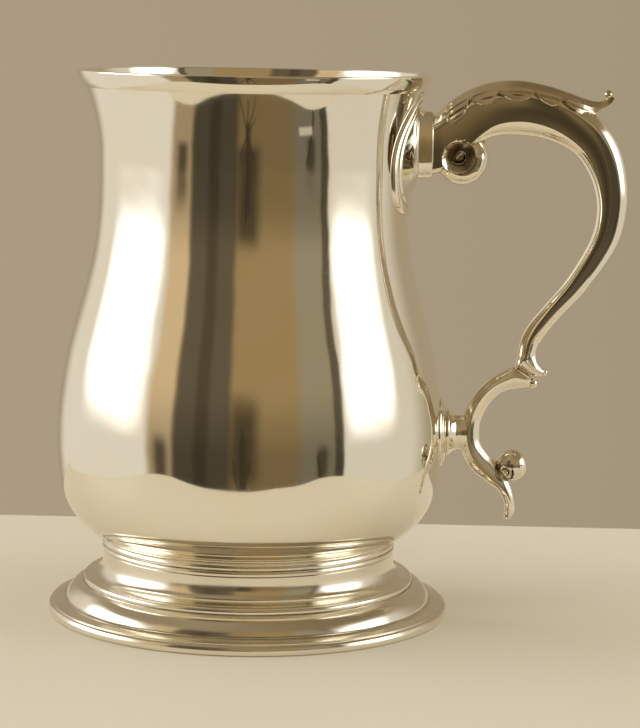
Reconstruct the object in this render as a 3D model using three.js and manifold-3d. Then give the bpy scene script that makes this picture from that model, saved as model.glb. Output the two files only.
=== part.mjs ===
// A George II style silver quart mug: a raised baluster body on a stepped, spread foot, with a
// double-scroll handle cast hollow in halves. Millimetres, +Z up, handle towards +X.
// Every outline is drawn round the body's own axis; the whole mug is then shifted along X so that
// the frame's origin is at the middle of its footprint, on the resting plane.
import * as THREE from 'three';
import { mergeVertices } from 'three/addons/utils/BufferGeometryUtils.js';
import { NURBSCurve } from 'three/addons/curves/NURBSCurve.js';
import Module from 'manifold-3d';

// ---- driving dimensions ----
const HEIGHT = 163;          // top of the lip
const RIM_RADIUS = 52.7;     // outside of the lip's moulding
const LIP_RADIUS = 51.3;     // outside of the body at its lip
const FOOT_RADIUS = 60.7;    // outside of the foot's edge wire
const HANDLE_REACH = 112.1;  // body axis to the back of the handle
const WALL = 1.1;            // raised silver sheet
const CAST_WALL = 1.2;       // hollow castings of the handle
const GAP = 0.3;             // solder line between neighbouring pieces
const FLOOR_Z = 22.9;        // underside of the body's floor
const COLLAR_TOP = FLOOR_Z - GAP;
const COLLAR_BOTTOM = 19.4;
const EDGE_WIRE_HEIGHT = 3.0;
const UPPER_JOINT_Z = 140;   // middle of the upper joint plate
const LOWER_JOINT_Z = 55.8;  // middle of the lower joint disc
const LOWER_DISC_RADIUS = 10.4;
const SOCKET_END_X = 53.4;   // where the upper socket meets the scroll
const UPPER_VOLUTE = { x: 62.2, z: 138.6 };
const LOWER_VOLUTE = { x: 79.5, z: 46.1 };
const ROUND_STEPS = 40;      // facets round the turned pieces
const AXIS_X = (FOOT_RADIUS - HANDLE_REACH) / 2;

const wasm = await Module();
wasm.setup();

// ---- geometry helpers ----
const point2 = ([x, y]) => new THREE.Vector2(x, y);

// A closed geometry with shared vertices, no sliver triangles and its faces pointing out.
function closed(geometry) {
  const bare = geometry.clone();
  bare.deleteAttribute('normal');
  bare.deleteAttribute('uv');
  const merged = mergeVertices(bare, 1e-4);
  const position = merged.getAttribute('position');
  const corner = (i) => new THREE.Vector3().fromBufferAttribute(position, i);
  const triangles = [];
  let volume = 0;
  for (let i = 0; i < merged.index.count; i += 3) {
    const [a, b, c] = [0, 1, 2].map((k) => merged.index.getX(i + k));
    if (a === b || b === c || c === a) continue;
    triangles.push([a, b, c]);
    volume += corner(a).dot(corner(b).cross(corner(c)));
  }
  merged.setIndex(triangles.flatMap(([a, b, c]) => (volume < 0 ? [a, c, b] : [a, b, c])));
  return merged;
}

function solidOf(geometry) {
  const merged = closed(geometry);
  return new wasm.Manifold(new wasm.Mesh({
    numProp: 3,
    vertProperties: Float32Array.from(merged.getAttribute('position').array),
    triVerts: Uint32Array.from(merged.index.array),
  }));
}

function geometryOf(solid) {
  const mesh = solid.getMesh();
  const geometry = new THREE.BufferGeometry();
  geometry.setAttribute('position', new THREE.BufferAttribute(mesh.vertProperties, 3));
  geometry.setIndex(new THREE.BufferAttribute(mesh.triVerts, 1));
  return geometry;
}

// A piece turned round the body axis from an outline of [radius, height] that closes on itself
// or starts and ends on the axis.
function turned(outline) {
  const geometry = new THREE.LatheGeometry(outline.map(point2), ROUND_STEPS);
  return closed(geometry.rotateX(Math.PI / 2));
}

const ring = (outline) => turned([...outline, outline[0]]);

// A skin through rings of equal point counts, closed by a fan at each end.
function loft(rings) {
  const count = rings[0].length;
  const vertices = rings.flat();
  const index = [];
  const at = (i, j) => i * count + (j % count);
  for (let i = 0; i + 1 < rings.length; i++) {
    for (let j = 0; j < count; j++) {
      index.push(at(i, j), at(i + 1, j), at(i + 1, j + 1));
      index.push(at(i, j), at(i + 1, j + 1), at(i, j + 1));
    }
  }
  for (const [i, flip] of [[0, true], [rings.length - 1, false]]) {
    const middle = new THREE.Vector3();
    rings[i].forEach((p) => middle.addScaledVector(p, 1 / count));
    const hub = vertices.push(middle) - 1;
    for (let j = 0; j < count; j++) {
      index.push(...(flip ? [hub, at(i, j), at(i, j + 1)] : [hub, at(i, j + 1), at(i, j)]));
    }
  }
  const geometry = new THREE.BufferGeometry().setFromPoints(vertices);
  geometry.setIndex(index);
  return closed(geometry);
}

// A clamped cubic B-spline through the ends of its control points.
function bspline(control, steps) {
  const degree = 3;
  const spans = control.length - degree;
  const inner = Array.from({ length: spans - 1 }, (_, i) => (i + 1) / spans);
  const knots = [...Array(degree + 1).fill(0), ...inner, ...Array(degree + 1).fill(1)];
  const points = control.map(([x, y]) => new THREE.Vector4(x, y, 0, 1));
  const curve = new NURBSCurve(degree, knots, points);
  return curve.getPoints(steps).map((p) => [p.x, p.y]);
}

// The same outline moved sideways by a distance, to the left of its direction of travel.
function offset(outline, distance) {
  return outline.map(([x, y], i) => {
    const [x0, y0] = outline[Math.max(i - 1, 0)];
    const [x1, y1] = outline[Math.min(i + 1, outline.length - 1)];
    const length = Math.hypot(x1 - x0, y1 - y0);
    return [x - (y1 - y0) / length * distance, y + (x1 - x0) / length * distance];
  });
}

// ---- body, lip moulding, collar and foot ----
const BODY_SIDE = bspline([
  [44.3, 23.0], [55.6, 29.1], [58.7, 46.9], [57.9, 64.4], [55.3, 81.1],
  [50.6, 95.9], [46.0, 115.2], [45.8, 132.7], [45.8, 148.7], [LIP_RADIUS, 160.8],
], 20);

function bodyRadius(z) {
  const i = Math.max(1, BODY_SIDE.findIndex(([, height]) => height >= z));
  const [[r0, z0], [r1, z1]] = [BODY_SIDE[i - 1], BODY_SIDE[i]];
  return r0 + (r1 - r0) * (z - z0) / (z1 - z0);
}

function makeBody() {
  const inside = offset(BODY_SIDE, WALL).reverse();
  return turned([
    [0, FLOOR_Z], [43, FLOOR_Z], ...BODY_SIDE, [LIP_RADIUS, HEIGHT],
    [LIP_RADIUS - WALL, HEIGHT], ...inside.slice(0, -1), [43, FLOOR_Z + WALL], [0, FLOOR_Z + WALL],
  ]);
}

// An applied strip under the lip, standing proud of the flared body with a sharp lower edge.
function makeRimMoulding() {
  const inside = [159, 160, 160.8].map((z) => [bodyRadius(z) + GAP * 1.15, z]);
  return ring([
    ...inside.reverse(), [51.15, 159.0], [51.4, 159.3], [52.0, 161.0], [52.5, 162.3],
    [RIM_RADIUS, 162.7], [RIM_RADIUS - 0.3, HEIGHT], [LIP_RADIUS + GAP, HEIGHT],
  ]);
}

function makeCollar() {
  return ring([
    [41.6, COLLAR_TOP], [43.7, COLLAR_TOP], [44.3, 22.0], [44.4, 21.2], [44.1, 20.6], [44.3, 20.2],
    [44.2, COLLAR_BOTTOM], [41.6, COLLAR_BOTTOM],
  ]);
}

function makeFoot() {
  const outside = [
    [44.3, 19.1], [44.2, 16.6], [44.5, 14.4], [45.4, 12.8], [47.0, 11.8], [49.2, 11.3], [49.9, 10.7],
    [50.0, 9.4], [51.3, 9.1], [53.0, 8.0], [54.5, 6.4], [55.3, 4.8], [55.5, 4.1], [57.4, 3.9], [59.4, 3.5],
  ];
  const inside = [
    [59.2, 2.3], [55.0, 2.8], [53.4, 5.4], [51.0, 7.8], [48.9, 8.4], [48.7, 10.0], [46.2, 10.8],
    [43.9, 12.8], [43.0, 15.8], [43.0, 19.1],
  ];
  return ring([...outside, ...inside]);
}

function makeEdgeWire() {
  const joint = FOOT_RADIUS - 1.0;
  const inside = FOOT_RADIUS - 2.0;
  return ring([
    [inside, 0], [FOOT_RADIUS - 0.3, 0], [FOOT_RADIUS, 0.4], [FOOT_RADIUS, 2.0],
    [FOOT_RADIUS - 0.3, 2.7], [joint, EDGE_WIRE_HEIGHT], [joint, 2.0], [inside, 2.0],
  ]);
}

// ---- pads soldered on the body: the upper joint plate and the lower joint disc ----
// outline: [across, up] points of the rim round the pad's middle; heights: [share of the way
// out, stand-off from the body]. `grow` lifts the top, `base` is where the pad's back lies.
function pad(middleZ, outline, heights, grow = 0, base = GAP) {
  const place = ([across, up], share, height) => {
    const [y, z] = [across * share, middleZ + up * share];
    const radius = bodyRadius(z) + height;
    return new THREE.Vector3(Math.sqrt(radius * radius - y * y), y, z);
  };
  const top = heights.map(([share, height]) =>
    outline.map((rim) => place(rim, share, GAP + height + grow)));
  const back = heights.map(([share]) => outline.map((rim) => place(rim, share, base))).reverse();
  return loft([...top, ...back]);
}

const oval = (halfY, halfZ, steps, power = 1) => Array.from({ length: steps }, (_, i) => {
  const angle = 2 * Math.PI * i / steps;
  const [c, s] = [Math.cos(angle), Math.sin(angle)];
  return [halfY * Math.sign(c) * Math.abs(c) ** power, halfZ * Math.sign(s) * Math.abs(s) ** power];
});

// A pear outline, broad and rather flat below, drawn in to a round top near the lip.
const PLATE_OUTLINE = (() => {
  const side = [[6.2, 17.2], [13.2, 11.6], [18.3, 3.6], [20.0, -5.5], [18.0, -13.2], [11.5, -17.6]];
  const other = side.map(([across, up]) => [-across, up]).reverse();
  const rim = [[0, 18.3], ...side, [0, -19.1], ...other];
  const curve = new THREE.CatmullRomCurve3(rim.map(([y, z]) => new THREE.Vector3(0, y, z)), true);
  return curve.getPoints(28).slice(0, -1).map((p) => [p.y, p.z]);
})();
const PLATE_HEIGHTS = [
  [0.1, 3.0], [0.5, 2.9], [0.62, 1.8], [0.75, 1.1], [0.8, 1.4], [0.86, 0.9], [0.93, 1.0], [1, 0.4],
];
const DISC_HEIGHTS = [[0.1, 1.7], [0.6, 1.6], [0.66, 1.1], [0.86, 0.9], [0.9, 0.5], [1, 0.4]];

// Ovals stacked along X: [x, half width, half height] at one height of the handle.
function stackedOvals(middleZ, slices, power) {
  return loft(slices.map(([x, halfY, halfZ]) =>
    oval(halfY, halfZ, 20, power).map(([y, up]) => new THREE.Vector3(x, y, middleZ + up))));
}

function makeSocket() {
  const collar = stackedOvals(142.4, [
    [46.5, 7.4, 10.3], [50.6, 7.2, 10.1], [51.0, 6.5, 9.6], [52.6, 6.4, 9.5], [53.0, 6.7, 9.7],
    [SOCKET_END_X, 6.6, 9.6],
  ], 0.8);
  const seat = pad(UPPER_JOINT_Z, PLATE_OUTLINE, PLATE_HEIGHTS, GAP, -8);
  return geometryOf(solidOf(collar).subtract(solidOf(seat)));
}

// ---- the two scrolls ----
// One rib of a scroll: throat is on the finger side, back on the outside, half is half the width.
const rib = (throatX, throatZ, backX, backZ, half) => ({
  throat: new THREE.Vector3(throatX, half, throatZ),
  back: new THREE.Vector3(backX, 0, backZ),
});

const UPPER_RIBS = [
  rib(88.9, 74.0, 89.1, 75.1, 1.0), rib(87.2, 73.4, 87.7, 76.2, 2.2), rib(84.3, 73.6, 86.4, 78.2, 3.0),
  rib(80.1, 76.1, 86.1, 80.4, 3.3), rib(80.3, 79.6, 86.4, 81.8, 3.4), rib(81.1, 84.4, 87.2, 83.6, 3.5),
  rib(83.4, 89.2, 89.0, 86.4, 3.7), rib(87.8, 95.0, 93.4, 91.9, 4.0), rib(93.4, 102.0, 99.4, 98.4, 4.4),
  rib(98.2, 109.8, 105.4, 106.2, 4.8), rib(101.4, 116.8, 110.2, 115.0, 5.1),
  rib(102.4, 123.6, HANDLE_REACH, 125.0, 5.4), rib(101.6, 129.5, 111.6, 134.2, 5.6),
  rib(99.6, 134.6, 109.2, 142.8, 5.8), rib(96.2, 139.4, 104.4, 150.0, 6.0),
  rib(91.0, 142.8, 97.0, 155.4, 6.1), rib(85.2, 144.8, 88.5, 159.1, 6.2),
  rib(79.0, 145.5, 79.5, 160.9, 6.2), rib(73.0, 145.2, 70.5, 160.0, 6.2),
  rib(68.3, 143.2, 63.0, 157.5, 6.2), rib(63.0, 138.8, 57.8, 154.4, 6.2),
  rib(57.8, 134.8, 54.8, 152.2, 6.2), rib(53.7, 133.4, 53.7, 151.0, 6.2),
];

const LOWER_RIBS = [
  rib(84.9, 70.0, 84.7, 72.3, 1.6), rib(82.5, 69.8, 82.2, 73.8, 2.6), rib(80.0, 69.4, 79.2, 75.5, 3.2),
  rib(77.9, 69.0, 76.3, 74.8, 3.4), rib(75.0, 67.6, 71.6, 71.9, 3.6), rib(72.3, 64.5, 67.7, 67.6, 3.8),
  rib(70.4, 60.6, 64.8, 62.0, 4.0), rib(69.8, 56.7, 63.4, 56.0, 4.1), rib(70.2, 52.8, 64.2, 49.8, 4.1),
  rib(72.4, 49.4, 67.4, 44.5, 4.0), rib(75.5, 46.2, 72.1, 40.7, 3.7), rib(78.2, 42.6, 75.3, 38.4, 3.2),
  rib(79.9, 38.6, 76.9, 36.0, 2.6), rib(80.8, 34.3, 77.7, 33.6, 2.1), rib(80.6, 31.4, 77.5, 31.4, 1.9),
  rib(79.3, 29.4, 78.2, 29.4, 1.2),
];

// Half of a rib's section as [share of the way from throat to back, share of the half width]:
// a narrow throat band, an arris, a slightly hollow side, a second arris and a rounded back.
const SECTION = [[0, 0], [0.04, 0.45], [0.27, 0.86], [0.5, 0.87], [0.76, 1], [0.9, 0.72], [1, 0]];

// The skin of a scroll, drawn in (positive inset) or out (negative) all round.
function scrollSkin(ribs, steps, inset, from = 0, to = 1) {
  const throats = new THREE.CatmullRomCurve3(ribs.map((r) => r.throat), false, 'catmullrom');
  const backs = new THREE.CatmullRomCurve3(ribs.map((r) => r.back), false, 'catmullrom');
  const rings = Array.from({ length: steps + 1 }, (_, i) => {
    const t = from + (to - from) * i / steps;
    const [throat, back] = [throats.getPoint(t), backs.getPoint(t)];
    const half = throat.y;
    throat.y = 0;
    const depth = throat.distanceTo(back);
    const side = SECTION.map(([share, width]) => [
      inset / depth + share * (1 - 2 * inset / depth), width * (half - inset),
    ]);
    const other = side.slice(1, -1).map(([share, y]) => [share, -y]).reverse();
    return [...side, ...other].map(([share, y]) => {
      const p = throat.clone().lerp(back, share);
      p.y = y;
      return p;
    });
  });
  return solidOf(loft(rings));
}

// A volute: turned about an axis along Y, with a sunk channel round a raised eye.
function volute({ x, z }, outline) {
  const other = outline.slice(0, -1).map(([r, y]) => [r, -y]).reverse();
  const geometry = new THREE.LatheGeometry([...outline, ...other].map(point2), 20);
  return solidOf(geometry.translate(x, 0, z));
}

const UPPER_VOLUTE_OUTLINE = [
  [0, 6.9], [1.6, 6.5], [2.4, 5.0], [4.4, 5.0], [5.0, 6.6], [6.6, 5.6], [7.8, 3.4], [8.2, 0],
];
const LOWER_VOLUTE_OUTLINE = [
  [0, 4.9], [1.0, 4.7], [1.5, 3.9], [2.4, 3.9], [2.9, 4.4], [4.0, 3.1], [4.7, 0],
];

const bead = (x, z, radius) =>
  solidOf(new THREE.SphereGeometry(radius, 10, 8).translate(x, 0, z));

// The part of a casting on one side of the seam, which lies in the plane of the handle.
function halfOf(solid, side) {
  const size = 200;
  const block = new THREE.BoxGeometry(size, size, size);
  return geometryOf(solid.intersect(solidOf(block.translate(size / 2, side * (size + GAP) / 2, size / 2))));
}

function upperScroll() {
  const hollow = scrollSkin(UPPER_RIBS, 30, CAST_WALL, 0.16, 0.8);
  return scrollSkin(UPPER_RIBS, 40, 0)
    .add(volute(UPPER_VOLUTE, UPPER_VOLUTE_OUTLINE))
    .add(bead(88.6, 74.7, 1.1))
    .subtract(hollow);
}

function lowerScroll() {
  const hollow = scrollSkin(LOWER_RIBS, 16, CAST_WALL, 0.2, 0.6);
  return scrollSkin(LOWER_RIBS, 30, 0)
    .add(volute(LOWER_VOLUTE, LOWER_VOLUTE_OUTLINE))
    .add(bead(85.2, 71.0, 1.15))
    .subtract(hollow);
}

function makeStrut() {
  const spool = stackedOvals(LOWER_JOINT_Z, [
    [60.5, 6.6, 7.0], [61.1, 5.3, 5.9], [62.2, 4.4, 5.2], [63.4, 4.0, 5.2], [66.0, 3.8, 5.9],
  ], 1);
  const scroll = scrollSkin(LOWER_RIBS, 30, -GAP);
  const beyond = new THREE.BoxGeometry(20, 40, 40).translate(77.5, 0, LOWER_JOINT_Z);
  return geometryOf(solidOf(spool).subtract(scroll).subtract(solidOf(beyond)));
}

// ---- the thumb leaf: a thin scalloped leaf laid over the arch, its tip curled up ----
const LEAF_SPINE = [
  [56.6, 154.6], [61.8, 157.9], [69.1, 161.0], [76.5, 162.0], [84.7, 161.1], [94.2, 158.4],
  [101.4, 156.2], [104.3, 156.8], [105.4, 158.6],
];
const LEAF_NOTCHES = [57, 64, 72, 83, 92, 102];  // the x of the notches between its lobes
const LEAF_THICKNESS = 0.7;

function makeLeaf() {
  const spine = new THREE.CatmullRomCurve3(LEAF_SPINE.map(([x, z]) => new THREE.Vector3(x, 0, z)));
  const steps = 36;
  const across = 6;
  const rings = Array.from({ length: steps + 1 }, (_, i) => {
    const t = i / steps;
    const top = spine.getPointAt(t);
    const along = spine.getTangentAt(t);
    const down = new THREE.Vector3(along.z, 0, -along.x);
    const lobe = Math.max(0, LEAF_NOTCHES.findLastIndex((x) => x <= top.x));
    const [from, to] = [LEAF_NOTCHES[lobe], LEAF_NOTCHES[lobe + 1] ?? 107];
    const swell = Math.sin(Math.PI * THREE.MathUtils.clamp((top.x - from) / (to - from), 0, 1));
    const taper = THREE.MathUtils.smoothstep(top.x, 93, 104.5);
    const half = THREE.MathUtils.lerp(7.1, 1.6, taper);
    const drop = THREE.MathUtils.lerp(3.7 + 3.4 * swell, 1.2, taper);
    const thick = THREE.MathUtils.lerp(LEAF_THICKNESS, 1.4, taper);
    const skin = (inset) => Array.from({ length: across + 1 }, (_, j) => {
      const angle = Math.PI / 2 * (2 * j / across - 1);
      const p = top.clone().addScaledVector(down, drop * (1 - Math.cos(angle)) + inset * Math.cos(angle));
      p.y = (half - inset * 0.9) * Math.sin(angle);
      return p;
    });
    return [...skin(0), ...skin(thick).reverse()];
  });
  return geometryOf(solidOf(loft(rings)).subtract(scrollSkin(UPPER_RIBS, 40, -GAP)));
}

// ---- the assembly ----
const polished = () => new THREE.MeshStandardMaterial({ color: 0xd9d4c6, roughness: 0.12, metalness: 1 });
const mug = new THREE.Group();
mug.position.set(AXIS_X, 0, 0);

function place(name, geometry) {
  const mesh = new THREE.Mesh(geometry, polished());
  mesh.name = name;
  mug.add(mesh);
}

place('body', makeBody());
place('rim_moulding', makeRimMoulding());
place('foot_collar', makeCollar());
place('foot', makeFoot());
place('foot_edge_wire', makeEdgeWire());
place('upper_joint_plate', pad(UPPER_JOINT_Z, PLATE_OUTLINE, PLATE_HEIGHTS));
place('upper_socket', makeSocket());
place('thumb_leaf', makeLeaf());
place('lower_joint_disc', pad(LOWER_JOINT_Z, oval(LOWER_DISC_RADIUS, LOWER_DISC_RADIUS, 24), DISC_HEIGHTS));
place('lower_strut', makeStrut());
for (const [name, side] of [['right', -1], ['left', 1]]) {
  place(`upper_scroll_${name}`, halfOf(upperScroll(), side));
  place(`lower_scroll_${name}`, halfOf(lowerScroll(), side));
}

export default mug;
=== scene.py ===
"""A silver baluster mug on a pale table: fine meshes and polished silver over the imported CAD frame.

Lengths in the shape code are millimetres measured from the body's turning axis and the resting
plane, X towards the handle; put() turns them into the frame's metres.
"""
import math

import bmesh
import bpy
import numpy as np
from mathutils import Matrix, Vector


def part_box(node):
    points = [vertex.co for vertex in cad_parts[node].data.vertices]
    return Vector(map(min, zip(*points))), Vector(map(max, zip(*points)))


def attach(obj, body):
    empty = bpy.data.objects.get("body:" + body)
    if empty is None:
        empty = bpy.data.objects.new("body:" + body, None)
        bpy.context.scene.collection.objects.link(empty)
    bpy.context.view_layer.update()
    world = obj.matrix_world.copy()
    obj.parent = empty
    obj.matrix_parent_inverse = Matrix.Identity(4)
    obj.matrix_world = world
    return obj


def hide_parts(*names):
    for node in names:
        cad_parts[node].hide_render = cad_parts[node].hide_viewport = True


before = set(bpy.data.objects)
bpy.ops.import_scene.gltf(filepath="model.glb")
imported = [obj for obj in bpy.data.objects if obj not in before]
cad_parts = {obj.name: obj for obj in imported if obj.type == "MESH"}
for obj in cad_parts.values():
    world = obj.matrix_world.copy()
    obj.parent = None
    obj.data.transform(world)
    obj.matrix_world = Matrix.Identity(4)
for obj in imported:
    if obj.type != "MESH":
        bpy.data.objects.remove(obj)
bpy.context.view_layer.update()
body_lo, body_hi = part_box("body")
AXIS_X = (body_lo[0] + body_hi[0]) / 2 * 1000

LIP_R = 51.3
WALL = 1.1
FLOOR_Z = 22.9
UPPER_JOINT_Z, LOWER_JOINT_Z = 140.0, 55.8
CHANNEL_AT = (61.3, 139.4)  # middle of the upper volute's sunk channel
SNAIL_AT = (77.4, 44.2)     # middle of the lower bulb's snail
FLUTE_PITCH = 1.8           # between the thumb leaf's flutes
DRAPE_POWER = 0.92          # how quickly the leaf falls away from its crest
FILL_WATTS = 7.2
DEGREES = 57.29578  # in a radian


# ---------------------------------------------------------------- curves and outlines
def catmull(points, count):
    """Points on a smooth curve through the given ones, evenly spaced by parameter."""
    p = np.asarray(points, float)
    if len(p) == 2:
        return p[0] + (p[1] - p[0]) * np.linspace(0, 1, count)[:, None]
    p = np.vstack([2 * p[0] - p[1], p, 2 * p[-1] - p[-2]])
    t = np.linspace(0, len(p) - 3, count)
    i = np.minimum(t.astype(int), len(p) - 4)
    u = (t - i)[:, None]
    a, b, c, d = p[i], p[i + 1], p[i + 2], p[i + 3]
    return 0.5 * (2 * b + (c - a) * u + (2 * a - 5 * b + 4 * c - d) * u**2
                  + (3 * b - a - 3 * c + d) * u**3)


def bspline(control, count):
    """A clamped cubic B-spline through the ends of its control points."""
    c = np.asarray(control, float)
    n = len(c)
    knots = np.concatenate([np.zeros(3), np.linspace(0, 1, n - 2), np.ones(3)])
    out = []
    for t in np.linspace(0, 1, count):
        k = min(max(np.searchsorted(knots, t, side="right") - 1, 3), n - 1)
        d = [c[j + k - 3].copy() for j in range(4)]
        for r in range(1, 4):
            for j in range(3, r - 1, -1):
                lo, hi = knots[j + k - 3], knots[j + 1 + k - r]
                a = 0 if hi == lo else (t - lo) / (hi - lo)
                d[j] = (1 - a) * d[j - 1] + a * d[j]
        out.append(d[3])
    return np.array(out)


def evenly(points, step):
    """The same polyline with points a fixed distance apart along it."""
    p = np.asarray(points, float)
    s = np.concatenate([[0], np.cumsum(np.linalg.norm(np.diff(p, axis=0), axis=1))])
    at = np.linspace(0, s[-1], max(2, int(round(s[-1] / step)) + 1))
    return np.column_stack([np.interp(at, s, p[:, k]) for k in range(p.shape[1])])


def moulding(*runs, step=0.3, fillet=0.16):
    """Smooth runs of an outline joined end to start, with a small round at each corner."""
    lines = [evenly(catmull(r, 40), step) for r in runs]
    out = [lines[0][0]]
    for k, line in enumerate(lines):
        body = line[1:-1]
        far = np.minimum(np.linalg.norm(body - line[0], axis=1), np.linalg.norm(body - line[-1], axis=1))
        out.extend(body[far > fillet])
        corner = line[-1]
        if k + 1 < len(lines):
            back, ahead = line[-2] - corner, lines[k + 1][1] - corner
            a = corner + back / np.linalg.norm(back) * fillet
            b = corner + ahead / np.linalg.norm(ahead) * fillet
            for u in (0, 0.25, 0.5, 0.75, 1):
                out.append((1 - u) ** 2 * a + 2 * u * (1 - u) * corner + u * u * b)
        else:
            out.append(corner)
    return np.array(out)


def offset(line, distance):
    t = np.gradient(line, axis=0)
    t /= np.linalg.norm(t, axis=1)[:, None]
    return line + np.column_stack([-t[:, 1], t[:, 0]]) * distance


def smooth(x, lo, hi):
    u = np.clip((np.asarray(x, float) - lo) / (hi - lo), 0, 1)
    return u * u * (3 - 2 * u)


# ---------------------------------------------------------------- meshes
def new_mesh(name, verts, faces):
    mesh = bpy.data.meshes.new(name)
    mesh.from_pydata([tuple(v) for v in verts], [], faces)
    mesh.validate()
    mesh.update()
    return mesh


def new_object(name, verts, faces):
    obj = bpy.data.objects.new(name, new_mesh(name, verts, faces))
    bpy.context.scene.collection.objects.link(obj)
    return obj


def put(p):
    p = np.asarray(p, float).reshape(-1, 3)
    return (p + [AXIS_X, 0, 0]) / 1000


def outward(obj):
    """Turns every face outward."""
    bm = bmesh.new()
    bm.from_mesh(obj.data)
    bmesh.ops.recalc_face_normals(bm, faces=bm.faces)
    if bm.calc_volume(signed=True) < 0:
        bmesh.ops.reverse_faces(bm, faces=bm.faces)
    bm.to_mesh(obj.data)
    bm.free()


def ripple(angle, z, depth):
    """Slow unevenness of a hand-raised wall."""
    a, z = np.asarray(angle), np.asarray(z)
    return depth * (
        0.45 * np.sin(3 * a + 0.5 + 0.021 * z) * np.sin(0.060 * z + 1.1)
        + 0.30 * np.sin(7 * a - 1.3 + 0.05 * z) * np.sin(0.151 * z + 0.4)
        + 0.17 * np.sin(13 * a + 2.1 - 0.08 * z) * np.sin(0.293 * z + 2.0)
        + 0.08 * np.sin(23 * a + 0.2 + 0.17 * z) * np.sin(0.52 * z))


def turned(name, outline, steps=320, uneven=0.0):
    """A piece turned round the body's axis from an outline of [radius, height] that closes on itself."""
    outline = np.asarray(outline, float)
    n = len(outline)
    verts, start = [], []
    angles = 2 * math.pi * np.arange(steps) / steps
    for r, z in outline:
        start.append(len(verts))
        if r < 1e-6:
            verts.append((0, 0, z))
        else:
            rr = r + (ripple(angles, z, uneven) if uneven else 0) * np.ones(steps)
            verts.extend(zip(rr * np.cos(angles), rr * np.sin(angles), [z] * steps))
    faces = []
    poles = [r < 1e-6 for r, _ in outline]
    for i in range(n):
        j = (i + 1) % n
        a, b = start[i], start[j]
        if poles[i] and poles[j]:
            continue
        for k in range(steps):
            m = (k + 1) % steps
            if poles[i]:
                faces.append((a, b + m, b + k))
            elif poles[j]:
                faces.append((a + k, a + m, b))
            else:
                faces.append((a + k, a + m, b + m, b + k))
    return new_object(name, put(verts), faces)


def loft(name, rings):
    """A closed skin through rings of equal point counts."""
    rings = np.asarray(rings, float)
    n, m = rings.shape[:2]
    verts = list(rings.reshape(-1, 3))
    faces = [(i * m + j, (i + 1) * m + j, (i + 1) * m + (j + 1) % m, i * m + (j + 1) % m)
             for i in range(n - 1) for j in range(m)]
    for i, flip in ((0, True), (n - 1, False)):
        verts.append(rings[i].mean(0))
        hub = len(verts) - 1
        for j in range(m):
            a, b = i * m + j, i * m + (j + 1) % m
            faces.append((hub, a, b) if flip else (hub, b, a))
    return new_object(name, put(verts), faces)


def volume(mesh):
    """The signed volume of a closed mesh, in cubic millimetres."""
    bm = bmesh.new()
    bm.from_mesh(mesh)
    size = bm.calc_volume(signed=True) * 1e9
    bm.free()
    return size


def gather(obj, other):
    """Adds another closed shell to the mesh as it is, its hidden side sunk in the first, and removes it."""
    bm = bmesh.new()
    bm.from_mesh(obj.data)
    bm.from_mesh(other.data)
    bm.to_mesh(obj.data)
    bm.free()
    obj.data.update()
    bpy.data.objects.remove(other)


def boolean(obj, other, operation):
    """Joins or cuts with another closed mesh and removes that one; an implausible result is an error."""
    before, tool = volume(obj.data), volume(other.data)
    mod = obj.modifiers.new("cut", "BOOLEAN")
    mod.operation, mod.object, mod.solver = operation, other, "EXACT"
    dg = bpy.context.evaluated_depsgraph_get()
    made = bpy.data.meshes.new_from_object(obj.evaluated_get(dg))
    after = volume(made)
    if operation == "UNION":
        low, high = before * 0.97, (before + tool) * 1.01
    else:
        low, high = before * 0.5, before * 1.001
    if not low <= after <= high:
        raise ValueError(f"{obj.name} {operation} {other.name}: "
                         f"{before:.1f} with {tool:.1f} gave {after:.1f} mm3")
    obj.modifiers.clear()
    obj.data = made
    bpy.data.objects.remove(other)


def cavities(obj, sunk=None):
    """Stores how sunken each vertex is, 0 to 1, for tarnish in the hollows; sunk(points) adds places."""
    mesh = obj.data
    n = len(mesh.vertices)
    co = np.empty(n * 3)
    mesh.vertices.foreach_get("co", co)
    co = co.reshape(-1, 3)
    no = np.empty(n * 3)
    mesh.vertices.foreach_get("normal", no)
    no = no.reshape(-1, 3)
    ed = np.empty(len(mesh.edges) * 2, np.int32)
    mesh.edges.foreach_get("vertices", ed)
    a, b = ed.reshape(-1, 2).T
    d = co[b] - co[a]
    length = np.maximum(np.linalg.norm(d, axis=1), 1e-9)
    bend = np.zeros(n); count = np.zeros(n)
    np.add.at(bend, a, (d * no[a]).sum(1) / length**2); np.add.at(count, a, 1)
    np.add.at(bend, b, (-d * no[b]).sum(1) / length**2); np.add.at(count, b, 1)
    bend /= np.maximum(count, 1)
    for _ in range(3):
        total = bend.copy(); c = np.ones(n)
        np.add.at(total, a, bend[b]); np.add.at(total, b, bend[a])
        np.add.at(c, a, 1); np.add.at(c, b, 1)
        bend = total / c
    value = np.clip(bend / 900, 0, 1)
    if sunk:
        value = np.maximum(value, sunk(co * 1000 - [AXIS_X, 0, 0]))
    value = value.astype(np.float32)
    layer = mesh.attributes.new("hollow", "FLOAT", "POINT")
    layer.data.foreach_set("value", value)


def piece(obj, nodes, material, sharp=None, sunk=None):
    """Finishes a piece: smooth shading, hollows, material, and its place in the frame."""
    outward(obj)
    mesh = obj.data
    mesh.polygons.foreach_set("use_smooth", [True] * len(mesh.polygons))
    if sharp:
        mesh.set_sharp_from_angle(angle=math.radians(sharp))
    cavities(obj, sunk)
    mesh.materials.clear()
    mesh.materials.append(material)
    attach(obj, "root")
    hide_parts(*nodes)
    return obj


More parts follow.
